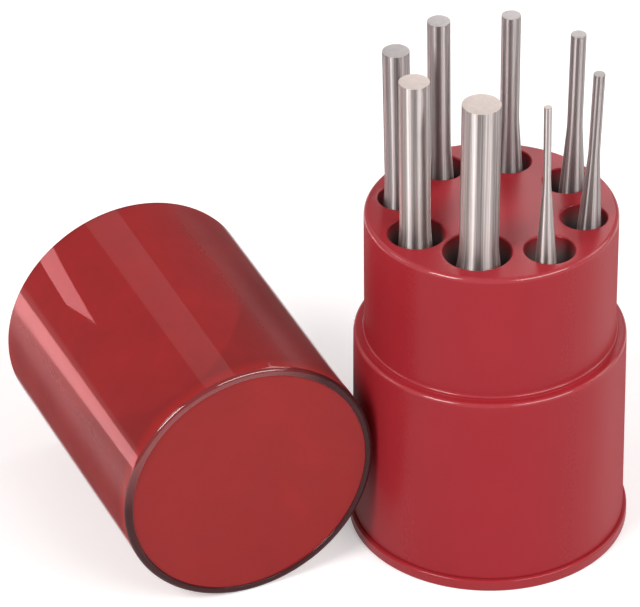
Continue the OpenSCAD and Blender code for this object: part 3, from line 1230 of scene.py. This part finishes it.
@dataclass(frozen=True)
class PhotoCamera:
    """The photograph's view: a long lens from the front, looking down at 34 degrees."""

    lens: float = 257.183
    sensor_width: float = 36.0
    place: tuple[float, float, float] = (-0.035262, -0.784726, 0.583113)
    down: float = 34.041
    roll: float = -0.693
    shift_x: float = 0.0
    shift_y: float = 0.0
    near: float = 0.85
    far: float = 1.1
    near_steps: int = 125
    clip: tuple[float, float] = (0.01, 50.0)

    def axes(self) -> tuple[Vector, Vector, Vector]:
        """Right, up and forward of the camera in the part's frame.

        Returns:
            Three unit vectors.
        """
        a, r = math.radians(self.down), math.radians(self.roll)
        forward = Vector((0, math.cos(a), -math.sin(a)))
        level = Vector((1, 0, 0))
        rise = level.cross(forward)
        right = level * math.cos(r) + rise * math.sin(r)
        up = rise * math.cos(r) - level * math.sin(r)
        return right, up, forward

    def build(self) -> bpy.types.Object:
        """Makes the camera and hands it to the scene.

        Returns:
            The camera object.
        """
        data = bpy.data.cameras.new("photo_camera")
        data.lens, data.sensor_width, data.sensor_fit = self.lens, self.sensor_width, "AUTO"
        data.shift_x, data.shift_y = self.shift_x, self.shift_y
        data.clip_start, data.clip_end = self.clip
        made = bpy.data.objects.new("photo_camera", data)
        right, up, forward = self.axes()
        turn = Matrix((right, up, -forward)).transposed().to_4x4()
        made.matrix_world = Matrix.Translation(self.place) @ turn
        bpy.context.scene.collection.objects.link(made)
        bpy.context.scene.camera = made
        return made

    def way(self, x: float, y: float) -> Vector:
        """Direction of the ray through an image point, in the part's frame.

        Args:
            x: Image x in pixels.
            y: Image y in pixels, down.

        Returns:
            A unit vector.
        """
        w, h = PHOTO_SIZE
        long_side = max(w, h)
        right, up, forward = self.axes()
        across = x - w / 2 + self.shift_x * long_side
        rise = h / 2 - y + self.shift_y * long_side
        depth = long_side * self.lens / self.sensor_width
        return (right * across + up * rise + forward * depth).normalized()

    def meet(self, x: float, y: float, carrier: BVHTree) -> Vector:
        """Where the ray through an image point meets a surface, or its place nearest the ray.

        Args:
            x: Image x in pixels.
            y: Image y in pixels, down.
            carrier: Tree of the surface, as finished and placed.

        Returns:
            The point in the part's frame.
        """
        start, way = Vector(self.place), self.way(x, y)
        hit = carrier.ray_cast(start, way)[0]
        if hit is not None:
            return hit
        depths = np.linspace(self.near, self.far, self.near_steps + 1)
        spots = [start + way * d for d in depths]
        found = [carrier.find_nearest(s) for s in spots]
        return min(found, key=lambda f: f[3])[0]

    def seen_at(self, points: Points) -> Points:
        """Image x and y of points in the part's frame.

        Args:
            points: Rows of x, y, z.

        Returns:
            Rows of image x and y.
        """
        w, h = PHOTO_SIZE
        long_side = max(w, h)
        right, up, forward = (np.array(v) for v in self.axes())
        away = points - np.array(self.place)
        scale = long_side * self.lens / self.sensor_width / (away @ forward)
        x = w / 2 - self.shift_x * long_side + (away @ right) * scale
        y = h / 2 + self.shift_y * long_side - (away @ up) * scale
        return np.stack([x, y], 1)


@dataclass(frozen=True)
class SoftLight:
    """One soft studio light: an area lamp that faces the set."""

    name: str
    azimuth: float
    elevation: float
    distance: float
    width: float
    height: float
    radiance: float
    aim: tuple[float, float, float] = (0.0, 0.0, 0.06)
    colour: str = "#FFFFFF"
    spread: float = 180.0

    def build(self) -> None:
        """Makes the lamp.

        Its power is pi times its area times its radiance straight ahead, times 1 - h / tan h for a grid
        that narrows its light to an angle of h on either side.
        """
        data = bpy.data.lights.new(self.name, "AREA")
        data.shape, data.size, data.size_y = "RECTANGLE", self.width, self.height
        half = math.radians(self.spread) / 2
        area = self.width * self.height
        data.spread = 2 * half
        data.energy = self.radiance * math.pi * area * (1 - half / math.tan(half))
        data.color = linear(self.colour)[:3]
        a, e = math.radians(self.azimuth), math.radians(self.elevation)
        away = Vector((math.sin(a) * math.cos(e), math.cos(a) * math.cos(e), math.sin(e)))
        made = bpy.data.objects.new(self.name, data)
        made.matrix_world = stood_at(Vector(self.aim) + away * self.distance, away)
        made.visible_camera = False
        bpy.context.scene.collection.objects.link(made)


@dataclass(frozen=True)
class Studio:
    """A plain pale table and soft lights; azimuths are clockwise from straight behind the set.

    Each light is given by its azimuth, elevation, distance, width, height and radiance, and the place
    that it faces, in degrees and metres.

    The five boxes and panels light the set. The three small lamps stand for the cards that the photograph
    shows in the cap: its broad pale stripe, the wedge near its mouth and its narrow pink stripe.
    """

    table: str = "#E4E3E2"
    table_roughness: float = 0.5
    glow: float = 0.36
    half_width: float = 4.0
    sky: float = 0.3
    lights: tuple[SoftLight, ...] = (
        SoftLight("front_left_box", -134, 38, 1.2, 0.45, 0.5, 10.5),
        SoftLight("front_right_box", 134, 38, 1.2, 0.9, 0.42, 6.5),
        SoftLight("right_box", 72, 32, 1.2, 0.5, 0.6, 2.1),
        SoftLight("left_box", -84, 36, 1.2, 0.36, 0.3, 2.6),
        SoftLight("top_panel", -24, 44, 1.5, 0.5, 0.45, 0.65),
        SoftLight("back_card", 5, 33, 0.15, 0.07, 0.055, 4.0, (0.01, 0.0, 0.0757)),
        SoftLight("mouth_card", -58, 20, 0.1, 0.026, 0.019, 8.6, (-0.0915, 0.0205, 0.0487), "#FFB4B8"),
        SoftLight(
            "left_strip", -62, -7, 0.14, 0.16, 0.024, 7.6, (-0.085, -0.011, 0.036), "#FFB0B4", 56
        ),
    )

    def build(self) -> None:
        """Makes the table, the even sky and the lights."""
        scene = bpy.context.scene
        scene.view_settings.view_transform = "Standard"
        world = bpy.data.worlds.new("even_sky")
        scene.world = world
        world.use_nodes = True
        world.node_tree.nodes.clear()
        sky = add_node(
            world.node_tree,
            "ShaderNodeBackground",
            {"Color": (1.0, 1.0, 1.0, 1.0), "Strength": self.sky},
        )
        out = add_node(world.node_tree, "ShaderNodeOutputWorld")
        world.node_tree.links.new(sky.outputs["Background"], out.inputs["Surface"])
        s = self.half_width
        mesh = bpy.data.meshes.new("table_top")
        mesh.from_pydata([(-s, -s, 0), (s, -s, 0), (s, s, 0), (-s, s, 0)], [], [(0, 1, 2, 3)])
        material, tree, end = blank_material("matt_white_table")
        paper = add_node(
            tree,
            "ShaderNodeBsdfDiffuse",
            {"Color": linear(self.table), "Roughness": self.table_roughness},
        )
        ray = add_node(tree, "ShaderNodeLightPath").outputs
        seen = ray["Is Camera Ray"]
        for kind in ("Is Glossy Ray", "Is Transmission Ray"):
            seen = add_node(
                tree, "ShaderNodeMath", {0: seen, 1: ray[kind]}, operation="MAXIMUM"
            ).outputs[0]
        strength = add_node(
            tree, "ShaderNodeMath", {0: seen, 1: self.glow}, operation="MULTIPLY"
        ).outputs[0]
        glow = add_node(tree, "ShaderNodeEmission", {"Strength": strength})
        both = add_node(
            tree, "ShaderNodeAddShader", {0: paper.outputs["BSDF"], 1: glow.outputs["Emission"]}
        )
        tree.links.new(both.outputs["Shader"], end.inputs["Surface"])
        mesh.materials.append(material)
        table = bpy.data.objects.new("table_top", mesh)
        scene.collection.objects.link(table)
        for light in self.lights:
            light.build()


# ------------------------------------------------------------------------------------- image points


@dataclass(frozen=True)
class ImagePoint:
    """A named point of the photograph, in pixels; an edge gives only its x or only its y."""

    name: str
    x: float | None
    y: float | None


IMAGE_POINTS = (
    ImagePoint("left_edge", 7.9, None),
    ImagePoint("right_edge", 627.1, None),
    ImagePoint("top_edge", None, 9.4),
    ImagePoint("bottom_edge", None, 594.6),
    ImagePoint("tip_5_16", 481.8, 104.3),
    ImagePoint("tip_1_4", 413.7, 80.7),
    ImagePoint("tip_7_32", 394.7, 49.7),
    ImagePoint("tip_3_16", 438.7, 20.7),
    ImagePoint("tip_5_32", 513.2, 14.9),
    ImagePoint("tip_1_8", 578.0, 34.1),
    ImagePoint("tip_3_32", 600.4, 74.2),
    ImagePoint("tip_1_16", 547.4, 107.1),
    ImagePoint("cap_top_edge", None, 203.0),
    ImagePoint("holder_top_front", None, 278.7),
    ImagePoint("shoulder_left", 353.3, None),
    ImagePoint("shoulder_front", None, 405.6),
    ImagePoint("holder_bottom", None, 592.2),
    ImagePoint("upper_section_left", 363.7, None),
    ImagePoint("upper_section_right", 618.9, None),
)


def finished_points(piece: bpy.types.Object) -> Points:
    """World places of a piece's vertices with its modifiers applied.

    Args:
        piece: A mesh piece.

    Returns:
        Rows of x, y, z.
    """
    shown = piece.evaluated_get(bpy.context.evaluated_depsgraph_get())
    mesh = shown.to_mesh()
    flat = np.zeros(len(mesh.vertices) * 3)
    mesh.vertices.foreach_get("co", flat)
    m = np.array(shown.matrix_world)
    shown.to_mesh_clear()
    return flat.reshape(-1, 3) @ m[:3, :3].T + m[:3, 3]


def measure_points(
    camera: PhotoCamera, pieces: dict[str, bpy.types.Object], holder: Holder
) -> dict[str, list[float | None]]:
    """Measures how far in x and y each named thing shows from its image point.

    Args:
        camera: The photograph's view.
        pieces: The finished pieces by name.
        holder: Sizes of the holder.

    Returns:
        Offset in x and in y for each point, and None where the point has no such coordinate.
    """
    solid = {name: finished_points(piece) for name, piece in pieces.items()}
    image = {name: camera.seen_at(points) for name, points in solid.items()}
    everything = np.vstack(list(image.values()))
    body, body_at = image["holder_moulding"], solid["holder_moulding"]
    r, z = np.hypot(body_at[:, 0], body_at[:, 1]), body_at[:, 2]
    above = holder.shoulder_h + 10 * MM
    upper = body[(r > holder.upper_r - HAIR) & (z > above)]
    rim = body[z > holder.height - HAIR]
    flat_r = holder.lower_r_top - holder.shoulder_round
    shoulder = body[(np.abs(z - holder.shoulder_h) < 10 * HAIR) & (r > flat_r)]
    seen = {
        "left_edge": (everything[:, 0].min(), None),
        "right_edge": (everything[:, 0].max(), None),
        "top_edge": (None, everything[:, 1].min()),
        "bottom_edge": (None, everything[:, 1].max()),
        "cap_top_edge": (None, image["cap_shell"][:, 1].min()),
        "holder_top_front": (None, rim[:, 1].max()),
        "shoulder_left": (shoulder[:, 0].min(), None),
        "shoulder_front": (None, shoulder[:, 1].max()),
        "holder_bottom": (None, image["foot_disc"][:, 1].max()),
        "upper_section_left": (upper[:, 0].min(), None),
        "upper_section_right": (upper[:, 0].max(), None),
    }
    graph = bpy.context.evaluated_depsgraph_get()
    aimed = {point.name: point for point in IMAGE_POINTS}
    for name, piece in pieces.items():
        if name.startswith("punch_"):
            marks = np.zeros(len(piece.data.vertices))
            piece.data.attributes[Mark.FACE.value].data.foreach_get("value", marks)
            face, tip = image[name][marks > 0.5], solid[name][marks > 0.5].mean(0)
            point = aimed[f"tip_{name.removeprefix('punch_').removesuffix('_ground')}"]
            seen[point.name] = tuple((face.min(0) + face.max(0)) / 2)
            met = camera.meet(point.x, point.y, BVHTree.FromObject(piece, graph))
            gap = (met - Vector(tip)).length / MM
            LOG.info("%s: its image point meets it %.2f mm from the tip", name, gap)
    offsets = {}
    for point in IMAGE_POINTS:
        at = seen[point.name]
        pairs = zip(at, (point.x, point.y))
        offsets[point.name] = [
            None if a is None or b is None else round(float(a - b), 2) for a, b in pairs
        ]
    return offsets


# --------------------------------------------------------------------------------------------- main

PUNCHES = (
    Punch("1_16", INCH / 16, 16.0 * MM, 6.35 * MM, painted_shade=False),
    Punch("3_32", INCH * 3 / 32, 17.5 * MM, 6.35 * MM),
    Punch("1_8", INCH / 8, 20.0 * MM, 6.35 * MM),
    Punch("5_32", INCH * 5 / 32, 23.0 * MM, 6.35 * MM),
    Punch("3_16", INCH * 3 / 16, 28.0 * MM, 7.94 * MM),
    Punch("7_32", INCH * 7 / 32, 30.0 * MM, 7.94 * MM),
    Punch("1_4", INCH / 4, 32.0 * MM, 9.52 * MM, painted_shade=False),
    Punch("5_16", INCH * 5 / 16, 31.5 * MM, 12.7 * MM, taper_rate=0.26, painted_shade=False),
)


def clear_defaults() -> None:
    """Takes away the objects of Blender's start-up file."""
    for name in ("Cube", "Light", "Camera"):
        found = bpy.data.objects.get(name)
        if found is not None:
            bpy.data.objects.remove(found)


def main() -> None:
    """Builds the set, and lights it."""
    logging.basicConfig(level=logging.INFO, format="%(name)s: %(message)s")
    clear_defaults()
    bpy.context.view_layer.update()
    camera, holder, cap = PhotoCamera(), Holder(), Cap()
    camera.build()
    Studio().build()
    red, clear = OpaqueRedMoulding().build(), ClearRedMoulding().build()
    unshaded = GroundSteel().build(), FacedSteel().build()
    # Painted shade: darker copies of the steel finishes for the punches farther back.
    painted_shade = (
        GroundSteel("greyed_tool_steel", bright="#D3CAC9", drawn="#958987").build(),
        FacedSteel("greyed_end_face", pale="#D8D1D0", worn="#C6C0C0").build(),
    )
    made = [
        holder.build_moulding(red),
        holder.build_foot(red),
        cap.build(clear),
        *(punch.build(*(painted_shade if punch.painted_shade else unshaded)) for punch in PUNCHES),
    ]
    pieces = {piece.name: piece for piece in made}
    bpy.context.view_layer.update()
    measure_points(camera, pieces, holder)


if __name__ == "__main__":
    main()
